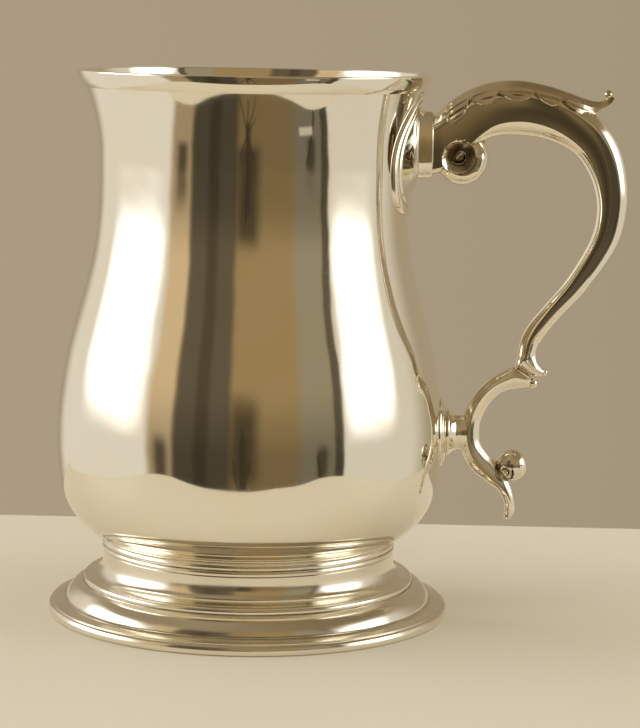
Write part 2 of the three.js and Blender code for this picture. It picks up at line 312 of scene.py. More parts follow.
# ---------------------------------------------------------------- node helpers
class Nodes:
    def __init__(self, tree):
        self.tree = tree
        tree.nodes.clear()

    def add(self, kind, **values):
        node = self.tree.nodes.new(kind)
        for key, value in values.items():
            setattr(node, key, value)
        return node

    def set(self, socket, value):
        if isinstance(value, bpy.types.NodeSocket):
            self.tree.links.new(value, socket)
        else:
            socket.default_value = value

    def math(self, op, a, b=0.0, clamp=False):
        node = self.add("ShaderNodeMath", operation=op, use_clamp=clamp)
        self.set(node.inputs[0], a)
        self.set(node.inputs[1], b)
        return node.outputs[0]

    def ramp(self, value, lo, hi, a=0.0, b=1.0, ease="SMOOTHSTEP"):
        node = self.add("ShaderNodeMapRange", interpolation_type=ease)
        for k, v in enumerate((value, lo, hi, a, b)):
            self.set(node.inputs[k], v)
        return node.outputs[0]

    def band(self, value, lo, hi, soft):
        """1 between lo and hi, with edges this soft."""
        a = self.ramp(value, lo - soft, lo + soft)
        b = self.ramp(value, hi - soft, hi + soft, 1.0, 0.0)
        return self.math("MULTIPLY", a, b)

    def mix(self, factor, a, b):
        node = self.add("ShaderNodeMix", data_type="RGBA")
        self.set(node.inputs[0], factor)
        self.set(node.inputs[6], a)
        self.set(node.inputs[7], b)
        return node.outputs[2]

    def noise(self, vector, scale, detail=2.0, rough=0.5, distortion=0.0):
        node = self.add("ShaderNodeTexNoise")
        self.set(node.inputs["Vector"], vector)
        node.inputs["Scale"].default_value = scale
        node.inputs["Detail"].default_value = detail
        node.inputs["Roughness"].default_value = rough
        node.inputs["Distortion"].default_value = distortion
        return node.outputs[0]

    def turn(self, vector, rotation, scale):
        node = self.add("ShaderNodeMapping")
        self.set(node.inputs["Vector"], vector)
        node.inputs["Rotation"].default_value = rotation
        node.inputs["Scale"].default_value = scale
        return node.outputs[0]


def rgb(r, g, b):
    return (r, g, b, 1.0)


# ---------------------------------------------------------------- materials
def silver(name, colour, rough, tarnish, wear=1.0, up_face_shade=0.0):
    """Old polished sterling: warm white metal, hairline scratches, thin haze, tarnish in the hollows;
    faces turned upwards also get painted shade, a patchy brown darkening as strong as the last argument."""
    mat = bpy.data.materials.new(name)
    mat.use_nodes = True
    n = Nodes(mat.node_tree)
    where = n.add("ShaderNodeTexCoord").outputs["Object"]
    hollow = n.add("ShaderNodeAttribute", attribute_name="hollow").outputs["Fac"]
    haze = n.noise(where, 46, 4, 0.55)
    cloud = n.noise(where, 210, 3, 0.6)
    lines = []
    for spin, stretch in (((0.3, 0.2, 0.5), (5200, 260, 4800)), ((1.2, 0.7, 2.1), (4600, 5200, 230)),
                          ((2.2, 1.5, 0.9), (300, 5000, 4200))):
        grain = n.noise(n.turn(where, spin, stretch), 1.0, 1.0, 0.4)
        lines.append(n.ramp(grain, 0.66, 0.78))
    scratch = n.math("MAXIMUM", n.math("MAXIMUM", lines[0], lines[1]), lines[2])
    tarnish_and_up_shade = n.math("MULTIPLY", n.ramp(hollow, 0.05, 0.75), n.ramp(cloud, 0.25, 0.7, 0.55, 1.0), clamp=True)
    tarnish_and_up_shade = n.math("MULTIPLY", tarnish_and_up_shade, tarnish, clamp=True)
    # painted shade: a patchy brown darkening on faces turned upwards, mixed in with the tarnish
    if up_face_shade:
        facing = n.add("ShaderNodeSeparateXYZ")
        n.set(facing.inputs[0], n.add("ShaderNodeTexCoord").outputs["Normal"])
        up_face_shade_mask = n.math("MULTIPLY", n.ramp(facing.outputs[2], -0.2, 0.8, 0.25, 1.0),
                      n.ramp(haze, 0.3, 0.7, 0.3, 1.0))
        tarnish_and_up_shade = n.math("MAXIMUM", tarnish_and_up_shade, n.math("MULTIPLY", up_face_shade_mask, up_face_shade))
    warmer = rgb(*[c * f for c, f in zip(colour, (1.0, 0.975, 0.92))])
    warm = n.mix(n.ramp(haze, 0.35, 0.75), rgb(*colour), warmer)
    shade = n.mix(tarnish_and_up_shade, warm, rgb(0.20, 0.135, 0.07))
    roughness = n.ramp(haze, 0.3, 0.75, rough * 0.75, rough * 1.35)
    roughness = n.math("ADD", roughness, n.math("MULTIPLY", scratch, 0.05 * wear))
    roughness = n.math("ADD", roughness, n.math("MULTIPLY", tarnish_and_up_shade, 0.25))
    bump = n.add("ShaderNodeBump")
    bump.inputs["Strength"].default_value = 0.35
    bump.inputs["Distance"].default_value = 0.000008
    height = n.math("SUBTRACT", n.math("MULTIPLY", cloud, 0.5), n.math("MULTIPLY", scratch, 0.22 * wear))
    n.set(bump.inputs["Height"], height)
    shader = n.add("ShaderNodeBsdfPrincipled")
    shader.inputs["Metallic"].default_value = 1.0
    n.set(shader.inputs["Base Color"], shade)
    n.set(shader.inputs["Roughness"], roughness)
    n.set(shader.inputs["Normal"], bump.outputs[0])
    out = n.add("ShaderNodeOutputMaterial")
    n.set(out.inputs["Surface"], shader.outputs[0])
    return mat


RAISED = silver("silver_raised", (0.945, 0.915, 0.815), 0.055, 0.8)
# moulded and chased silver also get painted shade on their upward faces
MOULDED = silver("silver_moulded", (0.94, 0.905, 0.80), 0.13, 1.0, up_face_shade=0.22)
CAST = silver("silver_cast", (0.94, 0.90, 0.79), 0.085, 1.0)
CHASED = silver("silver_chased", (0.90, 0.82, 0.64), 0.13, 1.0, wear=0.6, up_face_shade=0.42)

# ---------------------------------------------------------------- body
SIDE = bspline([(44.3, 23.0), (55.6, 29.1), (58.7, 46.9), (57.9, 64.4), (55.3, 81.1), (50.6, 95.9),
                (46.0, 115.2), (45.8, 132.7), (45.8, 148.7), (LIP_R, 160.8)], 260)


def body_radius(z):
    return np.interp(z, SIDE[:, 1], SIDE[:, 0])


def make_body():
    inner = offset(SIDE, WALL)[::-1]
    inner = inner[(inner[:, 1] > FLOOR_Z + WALL + 0.35)]
    inner = inner[inner[:, 0] > 42.0]
    floor_in = catmull([(inner[-1][0], inner[-1][1]), (43.6, FLOOR_Z + WALL + 0.06),
                        (41.5, FLOOR_Z + WALL)], 8)
    lip = moulding([(LIP_R, 160.8), (LIP_R, 162.9)], [(LIP_R, 162.9), (50.4, 162.95)],
                   [(50.4, 162.95), (50.15, 161.4)], step=0.4, fillet=0.22)
    floor_out = np.column_stack([np.linspace(2, 43.2, 30), np.full(30, FLOOR_Z)])
    floor_top = np.column_stack([np.linspace(40.5, 2, 30), np.full(30, FLOOR_Z + WALL)])
    outline = np.vstack([[(0, FLOOR_Z)], floor_out, SIDE, lip[1:], inner[inner[:, 1] < 161.2], floor_in,
                         floor_top, [(0, FLOOR_Z + WALL)]])
    return piece(turned("mug_body", outline, 384, uneven=0.055), ["body"], RAISED)


def make_rim_moulding():
    """A convex band applied under the lip, its lower edge standing proud of the flare."""
    under = [(body_radius(z) - 0.08, z) for z in (160.8, 160.0, 159.0, 158.0)]
    outline = moulding([under[-1], (50.45, 158.02)],
                       [(50.45, 158.02), (50.95, 158.6), (51.5, 159.4), (52.1, 160.6), (52.5, 161.7),
                        (52.68, 162.5)],
                       [(52.68, 162.5), (52.6, 162.85), (52.3, 163.0)],
                       [(52.3, 163.0), (LIP_R - 0.08, 163.0)],
                       [(LIP_R - 0.08, 163.0), under[0]], under, step=0.12, fillet=0.06)
    return piece(turned("lip_moulding", outline, 384), ["rim_moulding"], RAISED)


# ---------------------------------------------------------------- collar and foot
def make_collar():
    outline = moulding([(41.6, 22.85), (43.9, 22.85)],
                       [(43.9, 22.85), (44.25, 22.4), (44.45, 21.7), (44.3, 21.1)],
                       [(44.3, 21.1), (44.0, 20.85), (44.3, 20.5)],
                       [(44.3, 20.5), (44.42, 20.0), (44.3, 19.35)], [(44.3, 19.35), (44.0, 19.15)],
                       [(44.0, 19.15), (41.6, 19.15)], [(41.6, 19.15), (41.6, 22.85)], step=0.12, fillet=0.06)
    return piece(turned("collar", outline, 384), ["foot_collar"], MOULDED)


def make_foot():
    outline = moulding(
        [(44.15, 19.15), (44.1, 16.6), (44.45, 14.4), (45.4, 12.8), (47.0, 11.75), (49.1, 11.2)],
        [(49.1, 11.2), (49.7, 10.9), (49.95, 10.3), (49.95, 9.5)],
        [(49.95, 9.5), (50.9, 9.25)],
        [(50.9, 9.25), (52.6, 8.35), (54.1, 6.9), (55.0, 5.4), (55.3, 4.35)],
        [(55.3, 4.35), (55.75, 4.05)],
        [(55.75, 4.05), (57.6, 3.85), (59.55, 3.35)],
        [(59.55, 3.35), (59.5, 2.4)], [(59.5, 2.4), (55.0, 2.8)],
        [(55.0, 2.8), (53.4, 5.4), (51.0, 7.8), (48.9, 8.4)],
        [(48.9, 8.4), (48.7, 10.0)], [(48.7, 10.0), (46.2, 10.8), (43.9, 12.8), (43.0, 15.8), (43.0, 19.15)],
        [(43.0, 19.15), (44.15, 19.15)], step=0.22, fillet=0.12)
    return piece(turned("spread_foot", outline, 384), ["foot"], MOULDED)


def make_edge_wire():
    outline = moulding([(58.7, 0.0), (60.1, 0.0)],
                       [(60.1, 0.0), (60.55, 0.25), (60.7, 0.9), (60.68, 1.7), (60.4, 2.5),
                       (59.95, 2.92), (59.55, 3.0)], [(59.55, 3.0), (59.45, 2.3)],
                       [(59.45, 2.3), (58.7, 2.1)],
                       [(58.7, 2.1), (58.7, 0.0)], step=0.14, fillet=0.1)
    return piece(turned("foot_wire", outline, 384), ["foot_edge_wire"], MOULDED)


# ---------------------------------------------------------------- pads on the body
def pad(name, middle, rim, heights, rings=60):
    """A plate that follows the body: rim is [across, up] round its middle, heights [share out, stand-off]."""
    rim = np.asarray(rim, float)
    share = np.linspace(0.04, 1, rings)
    share = np.sort(np.concatenate([share, 1 - np.array([0.004, 0.01, 0.018, 0.028])]))
    curve = catmull(heights, 400)
    rise = np.interp(share, curve[:, 0], curve[:, 1])

    def at(s, h):
        y, z = rim[:, 0] * s, middle + rim[:, 1] * s
        radius = body_radius(z) + h
        return np.column_stack([np.sqrt(radius**2 - y**2), y, z])

    top = [at(s, h) for s, h in zip(share, rise)]
    back = [at(s, -0.3) for s in share[::-4]]
    return loft(name, top + [at(1, 0.2)] + back)


def pear(count=120):
    side = [(6.2, 17.2), (13.2, 11.6), (18.3, 3.6), (20.0, -5.5), (18.0, -13.2), (11.5, -17.6)]
    rim = [(0, 18.3), *side, (0, -19.1), *[(-a, b) for a, b in side[::-1]]]
    closed = catmull([rim[-1], *rim, rim[0], rim[1]], count * 3)
    n = len(rim)
    lo, hi = int(len(closed) / (n + 2)), int(len(closed) * (n + 1) / (n + 2))
    ring = evenly(closed[lo:hi + 1], 0.05)
    pick = np.linspace(0, len(ring) - 1, count, endpoint=False).astype(int)
    return ring[pick]


def make_plate():
    heights = [(0.0, 3.1), (0.30, 3.1), (0.46, 3.0), (0.52, 2.6), (0.58, 2.05), (0.66, 1.55), (0.74, 1.22),
               (0.79, 1.15), (0.81, 1.45), (0.845, 1.5), (0.865, 1.1), (0.89, 1.05), (0.91, 1.3),
               (0.95, 1.25),
               (0.985, 0.9), (1.0, 0.5)]
    return piece(pad("joint_plate", UPPER_JOINT_Z, pear(), heights, 90), ["upper_joint_plate"],
                 CAST)


def oval(half_y, half_z, count=72, power=1.0):
    a = 2 * math.pi * np.arange(count) / count
    c, s = np.cos(a), np.sin(a)
    return np.column_stack([half_y * np.sign(c) * np.abs(c)**power, half_z * np.sign(s) * np.abs(s)**power])


def make_disc():
    heights = [(0.0, 1.75), (0.50, 1.72), (0.68, 1.55), (0.80, 1.3), (0.87, 1.0), (0.90, 0.72), (0.96, 0.64),
               (1.0, 0.3)]
    return piece(pad("strut_disc", LOWER_JOINT_Z, oval(10.4, 10.4, 120), heights, 80), ["lower_joint_disc"],
                 CAST)


def stacked(name, middle, slices, power, count=72):
    lines = catmull(slices, 90)
    rings = []
    for x, half_y, half_z in lines:
        o = oval(half_y, half_z, count, power)
        rings.append(np.column_stack([np.full(count, x), o[:, 0], middle + o[:, 1]]))
    return loft(name, rings)


def make_socket():
    obj = stacked("handle_socket", 142.4, [
        (47.6, 8.2, 11.1), (48.5, 8.0, 10.9), (49.0, 7.45, 10.45), (49.6, 7.25, 10.25), (51.2, 7.1, 10.1),
        (52.6, 6.95, 10.0), (53.2, 6.8, 9.85), (53.5, 6.45, 9.5)], 0.8, 96)
    return piece(obj, ["upper_socket"], CAST)


# ---------------------------------------------------------------- scroll skins
def swept(name, ribs, section, steps):
    """A skin through ribs of (throat x, z, back x, z, half width, *extras); section(extras) gives the
    half outline as [share from throat to back, share of the half width]."""
    rows = catmull(ribs, steps)
    rings = []
    for row in rows:
        throat, back, half = row[0:2], row[2:4], row[4]
        side = section(*row[5:])
        other = side[1:-1][::-1] * [1, -1]
        both = np.vstack([side, other])
        p = throat + (back - throat) * both[:, :1]
        rings.append(np.column_stack([p[:, 0], both[:, 1] * half, p[:, 1]]))
    return loft(name, rings)


def arc(count, lo, hi):
    return np.linspace(lo, hi, count)


def eased(line, corners, size=0.035):
    """The half outline with a small round in place of each named corner."""
    out = []
    for k, here in enumerate(line):
        if k not in corners:
            out.append(here)
            continue
        for other, weights in ((line[k - 1], (1, 0.5)), (line[k + 1], (0.5, 1))):
            way = (other - here) / max(np.linalg.norm(other - here), 1e-9)
            reach = min(size, 0.45 * np.linalg.norm(other - here))
            out.extend(here + way * reach * w * (1.0 if w == 1 else 0.7) for w in weights)
    return np.array(out)


def upper_section(s1, s2):
    """Round throat band, arris, slightly hollow side, arris, round back band."""
    w1, w2, t1, t2 = 0.89, 1.0, math.radians(24), math.radians(20)
    a = arc(14, math.pi / 2, t1)
    throat = np.column_stack([s1 * (1 - np.sin(a)) / (1 - math.sin(t1)), w1 * np.cos(a) / math.cos(t1)])
    u = arc(12, 0, 1)
    side = np.column_stack([s1 + (s2 - s1) * u, w1 + (w2 - w1) * u - 0.035 * 4 * u * (1 - u)])
    a = arc(16, t2, math.pi / 2)
    back = np.column_stack([s2 + (1 - s2) * (np.sin(a) - math.sin(t2)) / (1 - math.sin(t2)),
                            w2 * np.cos(a) / math.cos(t2)])
    line = np.vstack([throat[:-1], side, back[1:]])
    line[0, 1] = line[-1, 1] = 0
    return eased(line, (len(throat) - 1, len(throat) + len(side) - 2))


def lower_section(s2):
    """Broad round throat face, arris near the back, narrow flat back band."""
    t1, t2 = math.radians(12), math.radians(38)
    a = arc(26, math.pi / 2, t1)
    throat = np.column_stack([s2 * (1 - np.sin(a)) / (1 - math.sin(t1)), np.cos(a) / math.cos(t1)])
    a = arc(14, t2, math.pi / 2)
    back = np.column_stack([s2 + (1 - s2) * (np.sin(a) - math.sin(t2)) / (1 - math.sin(t2)),
                            np.cos(a) / math.cos(t2)])
    line = np.vstack([throat, back[1:]])
    line[0, 1] = line[-1, 1] = 0
    return eased(line, (len(throat) - 1,))


def polar_cutter(name, x, z, edge, height, side, rings=40, steps=128, top=14.0):
    """A block whose face towards the mid-plane is the relief height(r, angle) inside edge(angle)."""
    verts, faces = [], []
    angles = 2 * math.pi * np.arange(steps) / steps
    rim = edge(angles)
    for i in range(rings + 1):
        r = rim * (i / rings)
        h = height(r, angles)
        if i == 0:
            h = np.full(steps, h.mean())
        verts.extend(np.column_stack([x + r * np.cos(angles), side * h, z + r * np.sin(angles)]))
    lift = rim * 1.03
    verts.extend(np.column_stack([x + lift * np.cos(angles), np.full(steps, side * top),
                                  z + lift * np.sin(angles)]))
    rows = rings + 2
    faces.append(tuple(range(steps)))
    for i in range(rows - 1):
        for k in range(steps):
            m = (k + 1) % steps
            faces.append((i * steps + k, i * steps + m, (i + 1) * steps + m, (i + 1) * steps + k))
    faces.append(tuple(range((rows - 1) * steps, rows * steps)))
    obj = new_object(name, put(verts), faces)
    bm = bmesh.new(); bm.from_mesh(obj.data)
    bmesh.ops.remove_doubles(bm, verts=bm.verts, dist=1e-7)
    bmesh.ops.dissolve_degenerate(bm, edges=bm.edges, dist=1e-8)
    bm.to_mesh(obj.data); bm.free()
    outward(obj)
    return obj


def roll(name, x, z, radius, half, edge_start, power=2.2, rings=40, steps=128):
    """A disc-shaped volute body with a full round edge; half(angle) is its half thickness."""
    angles = 2 * math.pi * np.arange(steps) / steps
    shares = np.concatenate([np.linspace(0.02, edge_start, 10), edge_start + (1 - edge_start)
                             * np.sin(np.linspace(0, math.pi / 2, rings)[1:])])
    outer = []
    for s in shares:
        u = np.clip((s - edge_start) / (1 - edge_start), 0, 1)
        h = half(angles) * (1 - u**power) ** (1 / power)
        outer.append(np.column_stack([x + s * radius * np.cos(angles), h, z + s * radius * np.sin(angles)]))
    mirrored = [ring * [1, -1, 1] for ring in outer[:-1][::-1]]
    return loft(name, outer + mirrored)


def bead(name, x, z, radius, squash=1.0):
    rings = []
    for a in np.linspace(-math.pi / 2 + 0.06, math.pi / 2 - 0.06, 20):
        t = 2 * math.pi * np.arange(32) / 32
        r = radius * math.cos(a)
        rings.append(np.column_stack([x + r * np.cos(t), np.full(32, radius * squash * math.sin(a)),
                                      z + r * np.sin(t)]))
    return loft(name, rings)


def pin(name, x, z, radius, side, depth_from, depth_to):
    t = 2 * math.pi * np.arange(16) / 16
    rings = [np.column_stack([x + radius * np.cos(t), np.full(16, side * y), z + radius * np.sin(t)])
             for y in (depth_from, depth_to)]
    obj = loft(name, rings)
    outward(obj)
    return obj


# Throat x, z, back x, z, half width, then the shares at which the two arrises run.
UPPER_RIBS = [
    (88.9, 74.0, 89.1, 75.1, 1.0, .40, .60), (87.2, 73.4, 87.7, 76.2, 2.2, .40, .60),
    (84.3, 73.6, 86.4, 78.2, 3.0, .41, .58), (80.1, 76.1, 86.1, 80.4, 3.3, .42, .56),
    (80.3, 79.6, 86.4, 81.8, 3.4, .42, .56), (81.1, 84.4, 87.2, 83.6, 3.5, .40, .58),
    (83.4, 89.2, 89.0, 86.4, 3.7, .36, .61), (87.8, 95.0, 93.4, 91.9, 4.0, .31, .605),
    (93.4, 102.0, 99.4, 98.4, 4.4, .26, .632), (98.2, 109.8, 105.4, 106.2, 4.8, .22, .651),
    (101.4, 116.8, 110.2, 115.0, 5.1, .19, .665), (102.4, 123.6, 112.1, 125.0, 5.4, .17, .674),
    (101.6, 129.5, 111.6, 134.2, 5.6, .165, .679), (99.6, 134.6, 109.2, 142.8, 5.8, .18, .688),
    (96.2, 139.4, 104.4, 150.0, 6.0, .21, .716), (91.0, 142.8, 97.0, 155.4, 6.1, .25, .744),
    (85.2, 144.8, 88.5, 159.1, 6.2, .285, .763), (79.0, 145.5, 79.5, 160.9, 6.2, .29, .763),
    (73.0, 145.2, 70.5, 160.0, 6.2, .25, .763), (68.3, 143.2, 63.0, 157.5, 6.2, .17, .763),
    (63.0, 138.8, 57.8, 154.4, 6.2, .12, .763), (57.8, 134.8, 54.8, 152.2, 6.2, .10, .763),
    (53.3, 133.4, 53.3, 151.0, 6.2, .10, .763),
]
LOWER_RIBS = [
    (84.9, 70.0, 84.6, 73.2, 1.6, .60), (82.5, 69.8, 82.2, 74.7, 2.6, .58),
    (80.0, 69.4, 79.4, 76.0, 3.2, .56),
    (77.9, 69.0, 76.3, 74.8, 3.4, .56), (75.0, 67.6, 71.6, 71.9, 3.6, .58),
    (72.3, 64.5, 67.7, 67.6, 3.8, .60),
    (70.4, 60.6, 64.8, 62.0, 4.0, .62), (69.8, 56.7, 63.4, 56.0, 4.1, .63),
    (70.2, 52.8, 64.2, 49.8, 4.1, .64),
    (72.4, 49.4, 67.4, 44.5, 4.0, .68), (75.5, 46.2, 72.1, 40.7, 3.7, .74),
    (78.2, 42.6, 75.3, 38.4, 3.2, .74),
    (79.9, 38.6, 76.9, 36.0, 2.6, .66), (80.8, 34.3, 77.7, 33.6, 2.1, .60),
    (80.6, 31.4, 77.5, 31.4, 1.9, .55),
    (79.3, 29.4, 78.2, 29.4, 1.2, .55),
]


def make_upper_scroll():
    obj = swept("upper_scroll", UPPER_RIBS, upper_section, 300)
    outward(obj)

    def thickness(a):
        """Fuller below and towards the fingers, sunk within the arch elsewhere."""
        turn = np.cos(a - math.radians(-62))
        return 5.1 + 1.75 * smooth(turn, -0.35, 0.35)

    disc = roll("volute", 62.2, 138.6, 8.2, thickness, 0.5)
    outward(disc)
    boolean(obj, disc, "UNION")
    for x, z, r, q in ((88.55, 74.65, 1.15, 1.25),):
        ball = bead("tip", x, z, r, q)
        outward(ball)
        boolean(obj, ball, "UNION")

    def edge(a):
        """The rolled edge round the sunk channel."""
        deg = np.degrees(a) % 360
        return np.interp(deg, [0, 40, 70, 110, 150, 190, 230, 270, 320, 360],
                         [4.7, 4.75, 4.9, 5.1, 5.5, 5.9, 5.5, 5.15, 4.8, 4.7])

    def relief(r, a):
        deg = (np.degrees(a) + 360) % 360
        open_side = np.interp(deg, [0, 55, 90, 170, 205, 240, 360], [0, 0, 1, 1, .6, 0, 0])
        rim = edge(a)
        u = np.clip((r - 2.0) / (rim - 2.0), 0, 1)
        channel = 3.7 + u**1.6 * (0.8 + 2.0 * open_side)
        wound = ((120 - deg) % 360) / 360
        ridge = 1.3 * np.exp(-((r - 1.3 - 1.9 * wound) / 0.36) ** 2) * smooth(-wound, -0.95, -0.6)
        eye = 5.2 + 0.9 * np.sqrt(np.clip(1 - (r / 1.35) ** 2, 0, 1))
        return np.where(r < 1.3, eye, channel + np.maximum(ridge, (5.2 - channel) * smooth(-r, -1.6, -1.3)))

    for side in (-1, 1):
        boolean(obj, polar_cutter("channel", *CHANNEL_AT, edge, relief, side), "DIFFERENCE")

    def sunk(p):
        r = np.hypot(p[:, 0] - CHANNEL_AT[0], p[:, 2] - CHANNEL_AT[1])
        return smooth(r, 1.2, 1.9) * smooth(-r, -5.3, -4.3) * smooth(-np.abs(p[:, 1]), -5.2, -4.2)

    return piece(obj, ["upper_scroll_left", "upper_scroll_right"], CAST, sharp=55, sunk=sunk)


def make_lower_scroll():
    obj = swept("lower_scroll", LOWER_RIBS, lower_section, 220)
    outward(obj)
    ball = roll("bulb", 79.5, 46.1, 4.75, lambda a: 4.7 + 0 * a, 0.05, power=2.0)
    outward(ball)
    boolean(obj, ball, "UNION")
    tip = bead("tip", 85.2, 71.2, 1.5, 1.25)
    outward(tip)
    boolean(obj, tip, "UNION")
    toe = bead("toe", 78.3, 30.2, 1.05, 1.3)
    outward(toe)
    boolean(obj, toe, "UNION")

    def edge(a):
        deg = np.degrees(a) % 360
        return np.interp(deg, [0, 60, 120, 180, 240, 300, 360], [2.7, 2.5, 2.8, 3.1, 3.0, 2.85, 2.7])

    def relief(r, a):
        deg = np.degrees(a) % 360
        shut = np.interp(deg, [0, 15, 45, 95, 125, 360], [0, .3, 1, 1, 0, 0])
        whorl = 3.55 + 0.35 * np.sqrt(np.clip(1 - (r / 2.3) ** 2, 0,
                                              1)) - 0.5 * np.exp(-((r - 1.15) / 0.3) ** 2)
        eye = 3.6 + 0.7 * np.sqrt(np.clip(1 - (r / 0.95) ** 2, 0, 1))
        groove = 2.6 + 0.5 * ((r - 2.5) / 0.6) ** 2
        h = np.where(r < 0.9, eye, np.where(r < 2.0, whorl, whorl + (groove - whorl) * smooth(r, 2.0, 2.25)))
        return h + shut * np.where(r > 1.9, 2.6, 0.0)

    for side in (-1, 1):
        boolean(obj, polar_cutter("snail", *SNAIL_AT, edge, relief, side), "DIFFERENCE")
    boolean(obj, pin("vent", 82.2, 46.7, 0.28, -1, 2.0, 9.0), "DIFFERENCE")

    def sunk(p):
        r = np.hypot(p[:, 0] - SNAIL_AT[0], p[:, 2] - SNAIL_AT[1])
        return smooth(r, 1.7, 2.2) * smooth(-r, -3.3, -2.9) * smooth(-np.abs(p[:, 1]), -3.7, -3.0)

    return piece(obj, ["lower_scroll_left", "lower_scroll_right"], CAST, sharp=55, sunk=sunk)


def make_strut():
    obj = stacked("strut", LOWER_JOINT_Z, [
        (59.6, 6.9, 7.3), (60.2, 6.6, 7.0), (61.0, 5.6, 6.3), (62.2, 4.6, 5.5), (63.4, 4.15, 5.25),
        (64.8, 4.05, 5.5), (66.0, 4.0, 5.95)], 1.0)
    return piece(obj, ["lower_strut"], CAST)


# ---------------------------------------------------------------- thumb leaf
LEAF_TOP = [(56.8, 153.6), (58.2, 155.4), (61.8, 157.9), (65.4, 159.7), (69.1, 161.0), (72.7, 161.7),
            (76.3, 162.0),
            (79.9, 161.9), (84.7, 161.1), (89.4, 160.0), (94.2, 158.4), (97.8, 157.1), (101.2, 156.1),
            (103.4, 156.2),
            (104.6, 157.0), (105.1, 158.0)]
LEAF_EDGE = [(57.6, 149.6), (59.1, 148.8), (61.7, 150.8), (62.9, 153.0), (63.5, 155.2), (64.0, 156.1),
             (66.0, 155.1),
             (69.0, 154.7), (71.2, 156.3), (71.9, 158.0), (73.6, 157.5), (75.4, 156.6), (78.2, 155.7),
             (81.0, 156.8),
             (82.9, 158.1), (84.2, 157.0), (85.6, 155.9), (88.2, 154.8), (90.5, 155.6), (91.9, 156.2),
             (94.3, 154.1), (96.7, 152.7), (99.0, 151.9), (101.4, 152.6), (103.6, 154.4), (105.6, 155.9)]


def make_leaf():
    """A scalloped leaf draped over the arch: flutes along it, rolled lips on its lobes, tip curled up."""
    steps, across = 260, 36
    top, low = evenly(catmull(LEAF_TOP, 900), 0.02), evenly(catmull(LEAF_EDGE, 1200), 0.02)
    t = np.linspace(0, 1, steps)
    top_at = np.column_stack([np.interp(t, np.linspace(0, 1, len(top)), top[:, k]) for k in (0, 1)])
    # Each rib goes from a point of the crest to the edge point under it.
    crest_x = top_at[:, 0]
    low_x = np.clip(crest_x, low[:, 0].min(), low[:, 0].max())
    order = np.maximum.accumulate(low[:, 0])
    low_z = np.interp(low_x, order, low[:, 1])
    rings = []
    for i in range(steps):
        x, z = top_at[i]
        taper = float(smooth(x, 92, 104.6))
        half = 7.35 * (1 - taper) + 1.15 * taper
        drop = max(z - low_z[i], 0.9) * (1 - float(smooth(x, 101.5, 104.5))) + 1.9 * float(smooth(x, 101.5,
                                                                                                  104.5))
        tangent = top_at[min(i + 1, steps - 1)] - top_at[max(i - 1, 0)]
        tangent /= np.linalg.norm(tangent)
        down = np.array([tangent[1], -tangent[0]]) * float(smooth(x, 101.5, 104)) \
            + np.array([0, -1]) * (1 - float(smooth(x, 101.5, 104)))
        v = np.linspace(-1, 1, 2 * across + 1)
        # One drape over the arch, cut off where the scalloped edge crosses it.
        full = max(7.2 * (1 - taper) + 1.9 * taper, drop * 1.001)
        b = np.abs(v)
        a = b * math.acos(1 - (drop / full) ** (1 / DRAPE_POWER)) * 2 / math.pi
        fade = 1 - taper
        y = half * np.sin(a * math.pi / 2 * 0.98) / math.sin(math.pi / 2 * 0.98)
        fall = full * (1 - np.cos(a * math.pi / 2)) ** DRAPE_POWER
        wave = np.sin(2 * math.pi * (fall / FLUTE_PITCH + 0.12))
        flute = 0.24 * fade * wave * smooth(a, 0.1, 0.3) * smooth(-b, -0.94, -0.82)
        rolled = 0.45 * fade * np.exp(-((b - 1) / 0.09) ** 2)
        keel = 0.25 * fade * np.exp(-(a / 0.05) ** 2)
        swell = (flute + rolled - keel)
        outer = np.column_stack([
            x + down[0] * (fall - swell * np.cos(a * math.pi / 2)),
            (y + swell * np.sin(a * math.pi / 2)) * np.sign(v + 1e-12),
            z + down[1] * (fall - swell * np.cos(a * math.pi / 2))])
        thick = 0.75 * (1 - taper) + 0.8 * taper
        inner = outer.copy()
        inner[:, 1] *= 1 - thick * np.sin(a * math.pi / 2) / max(half, 1)
        inner[:, 0] += down[0] * thick * np.cos(a * math.pi / 2)
        inner[:, 2] += down[1] * thick * np.cos(a * math.pi / 2)
        rings.append(np.vstack([outer, inner[::-1]]))
    obj = loft("thumb_leaf_fine", rings)
    outward(obj)
    ball = bead("tip", 105.1, 158.1, 1.35, 1.25)
    outward(ball)
    gather(obj, ball)
    return piece(obj, ["thumb_leaf"], CHASED, sharp=50)


make_body()
make_rim_moulding()
make_collar()
make_foot()
make_edge_wire()
make_plate()
make_disc()
make_socket()
make_strut()
make_upper_scroll()
make_lower_scroll()
make_leaf()

